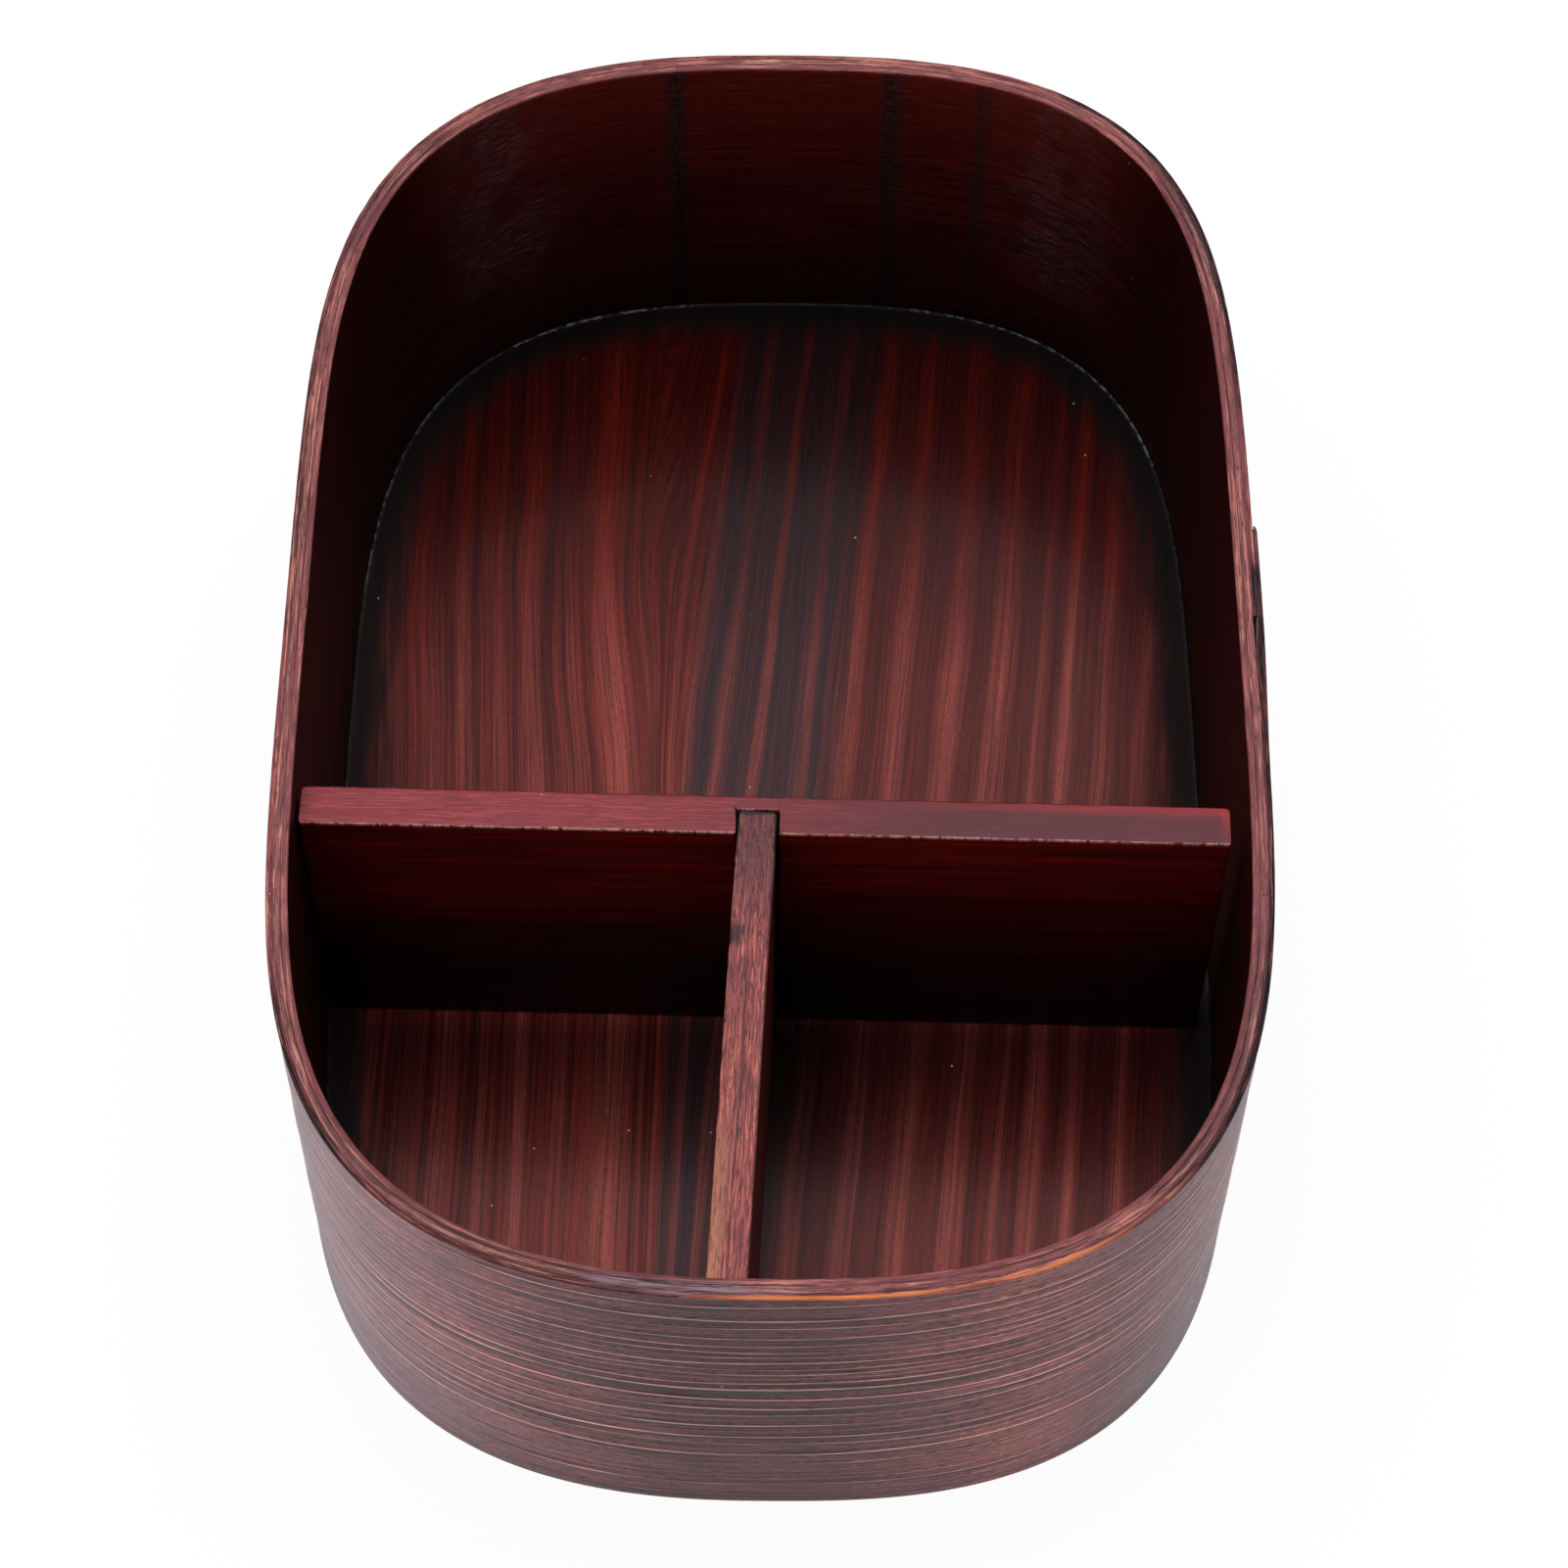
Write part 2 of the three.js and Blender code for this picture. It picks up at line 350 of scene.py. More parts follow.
def buildOuterPly():
    stations = outerStations()
    outer, inner = outerFaces(stations)
    thick = outer - inner
    rubbed = marked(stations, outerPly["rubbed"], 9)
    dusky = sum(depth * stretch(stations, start, end, 12) for start, end, depth in outerPly["dusky"])
    wear = 0.06 * wander(stations, 3.1, 5) + 0.04 * wander(stations, 0.9, 6)
    topOut = np.clip(outerPly["arris"] * (0.6 + 0.35 * rubbed) + wear, 0.06, 0.4)
    topIn = 0.04 + 0.02 * wander(stations, 2.3, 8)
    tops = np.minimum(topOut, thick * 0.4), np.minimum(topIn, thick * 0.1)
    rows = ribRows(stations), plainRows(0.2, rimHeight - 0.2, 3, fromTop=True)
    section = roundSection(outerPly, stations, (outer, inner), (0, rimHeight), rows, tops)
    return stripMesh("outerStrip", stations, onHoop, section, np.clip(rubbed, 0, 1) - np.clip(dusky, 0, 1))


# The middle and inner strips, with butted ends

middlePly = {
    "outer": -0.82,
    "thickness": 0.94,
    "seamAt": -41,
    "seamGap": 0.08,
    "arris": 0.05,
    "foot": 0.08,
    "rim": (5, 0.03, 1.9, 50),
}
innerPly = {
    "outer": -1.79,
    "thickness": 0.92,
    "seamAt": farEnd + 14,
    "seamGap": 0.06,
    "arris": 0.3,
    "foot": 0.12,
    "rim": (5, 0.03, 2.2, 70),
    # its seen face: rows down it, how uneven it is, length of a wave and first seed
    "face": (60, 0.018, 14, 100),
    # nicks in the inner edge of the rim: place, depth and half length
    "nicks": [((-58.6, 3.9), 0.34, 0.9), ((-57.9, -32.6), 0.3, 0.8), ((52.9, 68.7), 0.42, 1.3)],
    # rough upright streaks in the stain, in the order of x on the far wall: place, half width, depth
    "streaks": [((-14.2, 94.5), 1.15, 1), ((16.5, 94.3), 1, 0.85), ((29.7, 92), 0.8, 0.6)],
}


def buttedStations(ply, step=1.35):
    start = ply["seamAt"] + ply["seamGap"] / 2
    end = ply["seamAt"] + hoopLength - ply["seamGap"] / 2
    return np.linspace(start, end, int((end - start) / step))


def buildMiddlePly():
    stations = buttedStations(middlePly)
    outer = middlePly["outer"] + 0.01 * wander(stations, 6, 31)
    inner = middlePly["outer"] - middlePly["thickness"] + 0.01 * wander(stations, 8, 32)
    tops = [middlePly["arris"] + 0.03 * wander(stations, *wave) for wave in ((1.7, 33), (2.1, 34))]
    rows = [plainRows(0.2, rimHeight - 0.25, 3, fromTop=down) for down in (False, True)]
    section = roundSection(middlePly, stations, (outer, inner), (0, rimHeight), rows, tops)
    return stripMesh("middleStrip", stations, onHoop, section, 0 * stations)


def buildInnerPly():
    stations = buttedStations(innerPly)
    outer = innerPly["outer"] + 0.01 * wander(stations, 7, 61)
    inner = innerPly["outer"] - innerPly["thickness"] + 0 * stations
    nicks = 0 * stations
    for place, depth, half in innerPly["nicks"]:
        at = hoopDistance(*place)
        nicks = nicks + depth * stretch(stations, at - half, at + half, half)
    ragged = innerPly["arris"] + 0.09 * wander(stations, 2.2, 63) + 0.05 * wander(stations, 0.8, 64)
    tops = 0.06 + 0.03 * wander(stations, 2.6, 62), np.clip(ragged + nicks, 0.12, 0.7)
    backRows = []
    count, uneven, wave, seed = innerPly["face"]
    for number, height in enumerate(np.linspace(rimHeight - 0.8, 0.3, count)):
        relief = uneven * wander(stations + 31 * number, wave, seed + number % 7)
        backRows.append((height, height, relief, 0))
    streaks = 0 * stations
    for place, half, depth in innerPly["streaks"]:
        at = hoopDistance(*place)
        streaks = streaks + depth * stretch(stations, at - half, at + half, half * 1.2)
    rows = plainRows(0.2, rimHeight - 0.25, 3), backRows
    section = roundSection(innerPly, stations, (outer, inner), (0, rimHeight), rows, tops)
    return stripMesh("innerStrip", stations, onHoop, section, streaks)


# The floor board, with a thin bead of lacquer where it meets the wall

floorBoard = {
    "edgeGap": 0.08,
    "points": 460,
    "arris": 0.3,
    # where the bead has dried whitish: from, to (x, y) and strength
    "crusted": [
        ((-14, 94), (-43, 87), 0.9),
        ((56, 60), (20, 94), 0.7),
        ((-58, 40), (-50, 76), 0.35),
    ],
}
floorLow, floorHigh = boxInMm("floor_board")


def buildFloorBoard():
    points = floorBoard["points"]
    distance = np.arange(points) * hoopLength / points
    edge = -hoop["wall"] - floorBoard["edgeGap"]
    bead = 0.17 + 0.06 * wander(distance, 3.7, 81) + 0.05 * wander(distance, 1.1, 82)
    crusted = marked(distance, floorBoard["crusted"], 8)
    top, foot, arris = floorHigh.z, floorLow.z, floorBoard["arris"]
    # each ring is (inset, height, bead mark)
    rings = [
        (6, foot, 0), (arris, foot, 0), (0, foot + arris, 0), (0, top - 0.2, 1), (0, top + bead, 1),
        (0.1, top + bead * 0.7, 1), (0.22, top + bead * 0.3, 0.9), (0.42, top + bead * 0.06, 0.5),
        (0.7, top, 0.1), (2, top, 0), (5, top, 0), (9, top, 0), (14, top, 0), (20, top, 0),
    ]
    places, marks = [], []
    for inset, height, mark in rings:
        x, y = onHoop(distance, edge - inset)
        places.append(np.stack([x, y, height + 0 * x], axis=1))
        marks.append(np.stack([np.clip(crusted, 0, 1), mark + 0 * x, inset + 0 * x], axis=1))
    x, y = onHoop(distance, edge - rings[-1][0])
    for share in (0.8, 0.6, 0.4, 0.2, 0.06):
        places.append(np.stack([middleX + (x - middleX) * share, y * share, top + 0 * x], axis=1))
        marks.append(np.full((points, 3), (0, 0, rings[-1][0])))
    faces = loopFaces(len(places), points)
    places, marks = np.concatenate(places), np.concatenate(marks)
    return finishMesh("floorPanel", places, faces, places, marks)


# The two loose boards

crossBoard = {
    "thickness": 5.4,
    "fromNearEnd": 64.4,
    "length": 113.8,
    "shift": -0.75,
    "turn": -1.2,
    "cornerRadius": 0.55,
    "arris": 0.34,
    "nearArris": 0.12,
    "grooveDepth": 3.4,
    "grooveAt": -0.85,
    "grooveWidth": 5.35,
    "step": 0.9,
    "foot": 0.25,
    "rim": (6, 0.02, 4, 130),
    # the faces: rows up them, space left below and above, length of a wave and first seed
    "faces": (24, 0.6, 0.8, 23, 140),
}
longBoard = {
    "thickness": 4.85,
    "turn": -2.8,
    "arris": 0.34,
    "endGap": 0.3,
    "length": 64.6,
    "step": 0.7,
    "foot": 0.25,
    "rim": (8, 0.05, 2.6, 160),
    "faces": (20, 0.6, 1.2, 19, 170),
    # the dent in its left edge: from and to, measured back from its far end, and its depth
    "dent": (15.6, 19.6, 0.55),
}
crossLow, crossHigh = boxInMm("cross_divider")
longLow, longHigh = boxInMm("long_divider")
crossY = crossBoard["fromNearEnd"] + crossBoard["thickness"] / 2 - halfLength
crossMiddle = Vector((middleX + crossBoard["shift"], crossY))


def turnedPlace(origin, degrees, alongX):
    # maps (distance along, offset) of a board onto the plan
    turn = math.radians(degrees)
    cos, sin = math.cos(turn), math.sin(turn)

    def place(along, offset):
        if alongX:
            x, y = along, offset
        else:
            x, y = offset, along
        return origin.x + x * cos - y * sin, origin.y + x * sin + y * cos

    return place


def endRounding(stations, radius):
    # how far a face draws in towards a board's ends
    near = np.minimum(stations - stations[0], stations[-1] - stations)
    left = np.clip(radius - near, 0, radius)
    return radius - np.sqrt(radius * radius - left * left)


def denseEnds(low, high, step, radius):
    inset = radius * np.array([0, 0.04, 0.15, 0.35, 0.65, 1])
    middle = np.linspace(low + radius, high - radius, int((high - low) / step))
    return np.concatenate([low + inset[:-1], middle, (high - inset[:-1])[::-1]])


def boardMesh(name, board, stations, faces, heights, tops, place, worn):
    # a board with both of its faces a little uneven
    count, below, above, wave, seed = board["faces"]
    low, high = heights[0] + below, heights[1] - above

    def front(height):
        return 0.012 * (wander(stations + 17 * height, wave, seed) - 1)

    def back(height):
        return 0.012 * (wander(stations + 13 * height, wave, seed + 1) + 1)

    rows = plainRows(low, high, count, front), plainRows(low, high, count, back, True)
    section = roundSection(board, stations, faces, heights, rows, tops)
    return stripMesh(name, stations, place, section, worn)


def buildCrossBoard():
    board = crossBoard
    half = board["length"] / 2
    groove = [board["grooveAt"] + side * board["grooveWidth"] / 2 for side in (-1, 1)]
    stations = denseEnds(-half, half, board["step"], board["cornerRadius"])
    stations = stations[(np.abs(stations - groove[0]) > 0.2) & (np.abs(stations - groove[1]) > 0.2)]
    lips = [g + d for g in groove for d in (-0.14, -0.02, 0.02, 0.14)]
    stations = np.sort(np.concatenate([stations, lips]))
    inGroove = (stations > groove[0]) & (stations < groove[1])
    thick = board["thickness"] / 2
    outer = thick - endRounding(stations, board["cornerRadius"])
    inner = -thick + endRounding(stations, 0.35)
    inner = np.where(inGroove, -thick + board["grooveDepth"], inner)
    chips = 0.12 * np.clip(wander(stations, 2.7, 121), 0, 1) + 0.05 * wander(stations, 0.9, 122)
    nearTop = np.where(inGroove, 0.12, board["nearArris"] + chips)
    tops = board["arris"] + 0.08 * wander(stations, 3.3, 123), nearTop
    heights = crossLow.z, crossHigh.z
    place = turnedPlace(crossMiddle, board["turn"], True)
    return boardMesh("crossPanel", board, stations, (outer, inner), heights, tops, place, 0 * stations)


def buildLongBoard():
    board = longBoard
    turn = math.radians(crossBoard["turn"])
    reach = crossBoard["grooveDepth"] - crossBoard["thickness"] / 2
    side = crossBoard["grooveAt"]
    start = crossMiddle + Vector((
        side * math.cos(turn) - reach * math.sin(turn),
        side * math.sin(turn) + reach * math.cos(turn) - board["endGap"],
    ))
    stations = denseEnds(-board["length"], 0, board["step"], 0.4)
    thick = board["thickness"] / 2
    outer = thick - endRounding(stations, 0.3)
    inner = -thick + endRounding(stations, 0.3)
    dentFrom, dentTo, dentDepth = board["dent"]
    dent = ease(-stations, dentFrom, dentFrom + 0.8) * (1 - ease(-stations, dentTo - 1.4, dentTo))
    ragged = 0.16 * np.clip(wander(stations, 1.9, 151), -0.3, 1) + 0.08 * wander(stations, 0.8, 152)
    topOut = board["arris"] + 0.12 * np.clip(wander(stations, 2.3, 153), -0.4, 1)
    topOut = topOut + 0.07 * wander(stations, 0.8, 154)
    topIn = board["arris"] + ragged + dent * dentDepth * (0.8 + 0.3 * wander(stations, 0.9, 155))
    heights = longLow.z, longHigh.z
    place = turnedPlace(start, board["turn"], False)
    return boardMesh("longPanel", board, stations, (outer, inner), heights, (topOut, topIn), place, dent)


# Shader sums

def rgb(red, green, blue):
    # a colour as seen on a screen, 0 to 255, as the shaders' linear values
    def linear(value):
        value = value / 255
        return value / 12.92 if value <= 0.04045 else ((value + 0.055) / 1.055) ** 2.4

    return (linear(red), linear(green), linear(blue), 1)


class Wire:
    def __init__(self, tree, socket=None):
        self.tree = tree
        self.socket = socket

    def node(self, kind, sockets, settings=None, out=0):
        made = self.tree.nodes.new("ShaderNode" + kind)
        for key, value in (settings or {}).items():
            setattr(made, key, value)
        for key, value in sockets.items():
            if isinstance(value, Wire):
                self.tree.links.new(value.socket, made.inputs[key])
            else:
                made.inputs[key].default_value = value
        return Wire(self.tree, made.outputs[out]) if made.outputs else None

    def sum(self, operation, *values):
        return self.node("Math", dict(enumerate(values)), {"operation": operation})

    def __add__(self, other):
        return self.sum("ADD", self, other)

    def __sub__(self, other):
        return self.sum("SUBTRACT", self, other)

    def __mul__(self, other):
        return self.sum("MULTIPLY", self, other)

    def __rsub__(self, other):
        return self.sum("SUBTRACT", other, self)

    __radd__ = __add__
    __rmul__ = __mul__

    def size(self):
        return self.sum("ABSOLUTE", self)

    def between(self, low, high):
        # 0 below low, 1 above high, smooth between; low may be the larger one
        settings = {"interpolation_type": "SMOOTHSTEP"}
        return self.node("MapRange", {0: self, 1: low, 2: high}, settings)

    def mix(self, first, second):
        # from the first colour to the second as this goes from 0 to 1
        return self.node("Mix", {0: self, 6: first, 7: second}, {"data_type": "RGBA"}, 2)

    def dim(self, amount):
        # this colour times a plain value
        return self.node("VectorMath", {0: self, "Scale": amount}, {"operation": "SCALE"})

    def noise(self, squeeze, detail=2, rough=0.5):
        # noise over this place, squeezed along each axis: 1 / squeeze is the size of a blotch
        placed = self.node("VectorMath", {0: self, 1: squeeze}, {"operation": "MULTIPLY"})
        sockets = {"Vector": placed, "Scale": 1, "Detail": detail, "Roughness": rough}
        return self.node("TexNoise", sockets)

    def part(self, axis):
        return self.node("SeparateXYZ", {0: self}, out=axis)


def emptyTree(owner):
    # the nodes of a material or of the world, with none in them yet
    owner.use_nodes = True
    owner.node_tree.nodes.clear()
    return Wire(owner.node_tree)


def newFinish(name):
    material = bpy.data.materials.new(name)
    start = emptyTree(material)
    grain, marks = (
        start.node("Attribute", {}, {"attribute_name": layer}, "Vector") for layer in ("grain", "marks")
    )
    return material, grain, marks


def closeFinish(material, colour, roughness, height, depth, shine, more=None):
    start = Wire(material.node_tree)
    bump = start.node("Bump", {"Height": height, "Distance": depth * mm})
    sockets = {"Base Color": colour, "Roughness": roughness, "Normal": bump, "Specular IOR Level": shine}
    sockets.update(more or {})
    body = start.node("BsdfPrincipled", sockets)
    start.node("OutputMaterial", {"Surface": body})
    return material


def dustSpecks(grain):
    # a few pale specks of dust, about 0.3 mm across
    cells = grain.node("TexVoronoi", {"Vector": grain, "Scale": 0.16}, out="Distance")
    return cells.between(0.026, 0.012)


def rimColour(grain, colours):
    # the worn top edge: short torn fibres, light and dark, that run round the hoop
    fibre = grain.noise((0.2, 5, 0.8), 4, 0.72)
    streak = grain.noise((0.09, 3, 0.3), 3, 0.6)
    patch = grain.noise((0.035, 0.6, 0.1))
    fleck = grain.noise((0.4, 6, 1), 3, 0.66)
    colour = fibre.between(0.42, 0.57).mix(colours["dark"], colours["body"])
    colour = (patch.between(0.48, 0.68) * 0.8).mix(colour, colours["patch"])
    lit = streak.between(0.5, 0.62) * fibre.between(0.4, 0.54)
    colour = (lit * 0.9).mix(colour, colours["light"])
    return fleck.between(0.55, 0.64).mix(colour, colours["fleck"]), fibre


wornRim = {
    "dark": rgb(100, 48, 50),
    "body": rgb(150, 82, 82),
    "light": rgb(210, 136, 120),
    "patch": rgb(122, 64, 68),
    "fleck": rgb(58, 36, 42),
    "torn": rgb(136, 114, 124),
    # where the fibres of the rim are worn grey
    "tornAt": ((-24, -92), (6, -94.4)),
    "cream": rgb(232, 178, 136),
    # a bare, cream-coloured patch on the far rim: distance from the far end, half length
    "creamAt": (2, 3.2),
    "inner": rgb(124, 74, 80),
    "glue": rgb(40, 24, 30),
    # the dark lines between the strips, and where they are strongest: from and to, from the far end
    "glueLines": (-0.81, -1.77),
    "glueAt": [(-226, -178, 0.65), (201, 268, 0.55), (-86, -56, 0.45), (44, 80, 0.5)],
}


def fromFarEnd(grain):
    # distance round the hoop from the middle of its far end, at most half the hoop either way
    away = grain.part(0) - float(farEnd)
    return away.sum("WRAP", away, float(hoopLength / 2), float(-hoopLength / 2))


def plyRim(grain):
    colour, fibre = rimColour(grain, wornRim)
    tornFrom, tornTo = (float(hoopDistance(*corner)) for corner in wornRim["tornAt"])
    around, across = grain.part(0), grain.part(1)
    tornHere = around.between(tornFrom, tornFrom + 8) * around.between(tornTo, tornTo - 8)
    tornHere = tornHere * across.between(-2.3, -1.6) * across.between(-0.2, -0.6)
    away = fromFarEnd(grain)
    colour = (across.between(-1.7, -1.85) * fibre.between(0.7, 0.4) * 0.6).mix(colour, wornRim["inner"])
    gluey = grain.noise((0.022, 0, 0), 3, 0.6).between(0.4, 0.7) * 0.45
    for start, end, strength in wornRim["glueAt"]:
        gluey = gluey + away.between(start, start + 8) * away.between(end, end - 8) * strength
    colour = colour.dim(1 - gluey * 0.36)
    wobble = grain.noise((0.03, 0, 0)) * 0.9 - 0.45
    for line in wornRim["glueLines"]:
        glue = (across + wobble - line).size().between(0.3, 0.1) * gluey * fibre.between(0.85, 0.35)
        colour = glue.mix(colour, wornRim["glue"])
    torn = tornHere * grain.noise((0.16, 5, 1), 3, 0.66).between(0.46, 0.56)
    colour = (torn * 0.9).mix(colour, wornRim["torn"])
    creamMiddle, creamHalf = wornRim["creamAt"]
    cream = (away - creamMiddle).size().between(creamHalf, creamHalf * 0.3)
    cream = cream * across.between(-0.75, -0.95) * across.between(-1.75, -1.5)
    cream = cream * grain.noise((0.12, 2.6, 1), 3, 0.6).between(0.4, 0.56)
    return (cream * 0.85).mix(colour, wornRim["cream"]), fibre


outerStain = {
    "body": rgb(168, 99, 103),
    "grey": rgb(146, 88, 98),
    "red": rgb(182, 103, 101),
    "line": rgb(255, 204, 190),
    # a pale lilac painted sheen, for where the wall turns away
    "fadeAndSheen": rgb(188, 168, 178),
    # stain in the grooves, darkened further with painted shade
    "groove": rgb(36, 15, 20),
    "fleck": rgb(28, 13, 19),
    "rubbed": rgb(218, 124, 70),
    "dusk": rgb(22, 15, 22),
    "dust": rgb(205, 195, 190),
    # painted shade: the middle of the near end is darkened here: distance round the hoop, half width,
    # strength
    "paintedShadeAt": (401, 20, 0.3),
    # painted shade: the long sides are darker again: where that begins and is full, from the same place
    "paintedShadeSides": (52, 76),
    # painted sheen: the left corner of the near end is paled most: where that sets in and is full, on either
    # side
    "sheenFrom": (384, 345),
    "sheenTo": (270, 320),
    # where the stain is reddest, and painted light brightens it: distance round the hoop and half width
    "redAt": [(358, 26), (434, 18)],
    # the dry fibres catch a pale haze where the wall turns away, and the raised ones are polished
    "haze": {
        "Sheen Weight": 0.35, "Sheen Roughness": 0.22, "Sheen Tint": (0.95, 0.93, 1, 1),
        "Coat Roughness": 0.3, "Coat IOR": 1.45,
    },
}


def finishOuter():
    stain = outerStain
    material, grain, marks = newFinish("outerStripStain")
    rim, ridge, worn = (marks.part(k) for k in range(3))
    around = grain.part(0)
    patch = grain.noise((0.014, 0, 0.03))
    blush = grain.noise((0.03, 0, 0.05), 3, 0.55)
    fibre = grain.noise((0.7, 0, 7), 4, 0.75)
    streak = grain.noise((0.05, 0, 3.2), 3, 0.6)
    thin = grain.noise((0.025, 0, 7))
    flecks = grain.noise((0.6, 0, 5), 3, 0.66)
    colour = patch.between(0.4, 0.6).mix(stain["grey"], stain["body"])
    red, bright = blush.between(0.46, 0.66) * 0.5, 1.04
    for middle, half in stain["redAt"]:
        here = (around - middle).size().between(half, 0)
        red = red + here * blush.between(0.3, 0.6) * 0.6
        # painted light: the wall is brightened here, where it turns towards the light
        bright = bright + here * 0.42
    colour = red.mix(colour, stain["red"]).dim(bright)
    colour = colour.dim(fibre.between(0.34, 0.66) * 1.46 + 0.25)
    colour = colour.dim(1 - streak.between(0.46, 0.62) * 0.7)
    colour = (flecks.between(0.53, 0.62) * 0.8).mix(colour, stain["fleck"])
    crest, troughStainAndShade = ridge.between(0.15, 0.75), ridge.between(0.02, -0.2)
    # dark stain in the groove below each raised line, with painted shade under the rib
    colour = (troughStainAndShade * 0.9).mix(colour, stain["groove"])
    colour = (crest * (fibre.between(0.2, 0.5) * 0.35 + 0.6)).mix(colour, stain["line"])
    # painted shade darkens the middle of the near end
    shadeMiddle, shadeHalf, shade = stain["paintedShadeAt"]
    fromShade = (around - shadeMiddle).size()
    colour = colour.dim(1 - fromShade.between(shadeHalf, shadeHalf * 0.3) * shade)
    # painted sheen: the wall and its raised lines turn pale lilac where it turns away, most at the left
    # corner, but not in the grooves
    paintedSheen = fromShade.between(26, 74) * (fibre * 0.4 + crest * 0.5 + 0.12)
    corner = around.between(*stain["sheenFrom"]) * around.between(*stain["sheenTo"])
    paintedSheen = (paintedSheen + corner * 0.24) * (1 - troughStainAndShade * 0.85)
    colour = paintedSheen.mix(colour, stain["fadeAndSheen"])
    colour = colour.dim(1.22 - thin.between(0.44, 0.56) * (1 - crest) * 0.55)
    # painted shade on the long sides
    colour = colour.dim(1 - fromShade.between(*stain["paintedShadeSides"]) * 0.25)
    rimSurface, rimFibre = plyRim(grain)
    dusk = worn.between(0, -1) * grain.part(1).between(-0.95, -0.4)
    rimSurface = (dusk * rimFibre.between(0.78, 0.45)).mix(rimSurface, stain["dusk"])
    colour = rim.between(0.25, 0.75).mix(colour, rimSurface)
    rubbedEdge = worn.between(0, 1) * rim.between(0.05, 0.4) * grain.part(1).between(-0.6, -0.3)
    bare = grain.noise((0.09, 1.5, 0.6), 3, 0.66).between(0.34, 0.58)
    colour = (rubbedEdge * (bare * 0.8 + 0.15)).mix(colour, stain["rubbed"])
    colour = dustSpecks(grain).mix(colour, stain["dust"])
    roughness = 0.3 + fibre * 0.16 - crest * 0.04 + rim * (dusk * 0.14 + 0.22)
    polish = {"Coat Weight": crest * (1 - rim) * (fromShade.between(10, 60) * 0.45 + 0.5)}
    return closeFinish(material, colour, roughness, fibre, 0.1, 0.14, {**stain["haze"], **polish})


def finishMiddle():
    material, grain, marks = newFinish("middleStripStain")
    colour, fibre = plyRim(grain)
    return closeFinish(material, colour, 0.55 + fibre * 0.1, fibre, 0.06, 0.35)


innerStain = {
    "deep": rgb(78, 24, 22),
    "red": rgb(134, 42, 38),
    # painted light on the upper wall
    "paintedTopLight": rgb(146, 46, 30),
    "streak": rgb(82, 64, 64),
    # the grey of the painted highlight on torn fibres
    "hair": rgb(108, 98, 102),
    # painted highlight: torn fibres in the far corners catch the light, painted grey: distance round from
    # the far end, and strength
    "hairGlintAt": [(-42, 14, 0.7), (42, 15, 1.1)],
    "dust": rgb(190, 180, 176),
}


def finishInner():
    stain = innerStain
    material, grain, marks = newFinish("innerStripStain")
    rim, streakMark = marks.part(0), marks.part(2)
    fibre = grain.noise((0.16, 0, 5), 4, 0.66)
    line = grain.noise((0.012, 0, 1.4), 3, 0.6)
    patch = grain.noise((0.03, 0, 0.09))
    height = grain.part(2)
    # painted light: the upper part of the wall is lighter and redder
    paintedTopLight = height.between(rimHeight - 26, rimHeight - 1)
    colour = line.between(0.3, 0.7).mix(stain["deep"], stain["red"])
    colour = (patch.between(0.42, 0.66) * 0.4).mix(colour, stain["deep"])
    colour = (paintedTopLight * 0.45).mix(colour, stain["paintedTopLight"])
    colour = colour.dim(fibre.between(0.25, 0.75) * 0.9 + 0.5)
    ragged = grain.noise((1, 0, 1.1), 3, 0.7)
    stripe = streakMark * ragged.between(0.24, 0.5)
    colour = (stripe * 0.9).mix(colour, stain["streak"])
    colour = colour.dim(1 - stripe * ragged.between(0.56, 0.5) * 0.7)
    # painted shade: darker down the far wall and round to the sides
    away = fromFarEnd(grain)
    paintedLightByHeight = height * 0.0135 + 0.02
    colour = colour.dim(paintedLightByHeight + away.size().between(34, 66) * (0.12 - paintedLightByHeight))
    # painted highlight: grey glints on torn fibres in the far corners
    hairGlints = grain.noise((0.32, 0, 4.4), 4, 0.75).between(0.46, 0.66) * height.between(10, 34)
    hairGlints = hairGlints * grain.noise((0.12, 0, 0.09)).between(0.3, 0.6)
    for middle, half, strength in stain["hairGlintAt"]:
        here = (away - middle).size().between(half, 0)
        colour = (hairGlints * here * strength).mix(colour, stain["hair"])
    colour = rim.between(0.12, 0.7).mix(colour, plyRim(grain)[0])
    colour = (dustSpecks(grain) * 0.7).mix(colour, stain["dust"])
    hair = grain.noise((0.16, 0, 3.2), 3, 0.6)
    roughness = 0.44 + fibre * 0.14 + stripe * 0.1
    return closeFinish(material, colour, roughness, hair + stripe * ragged * 2, 0.07, 0.11)


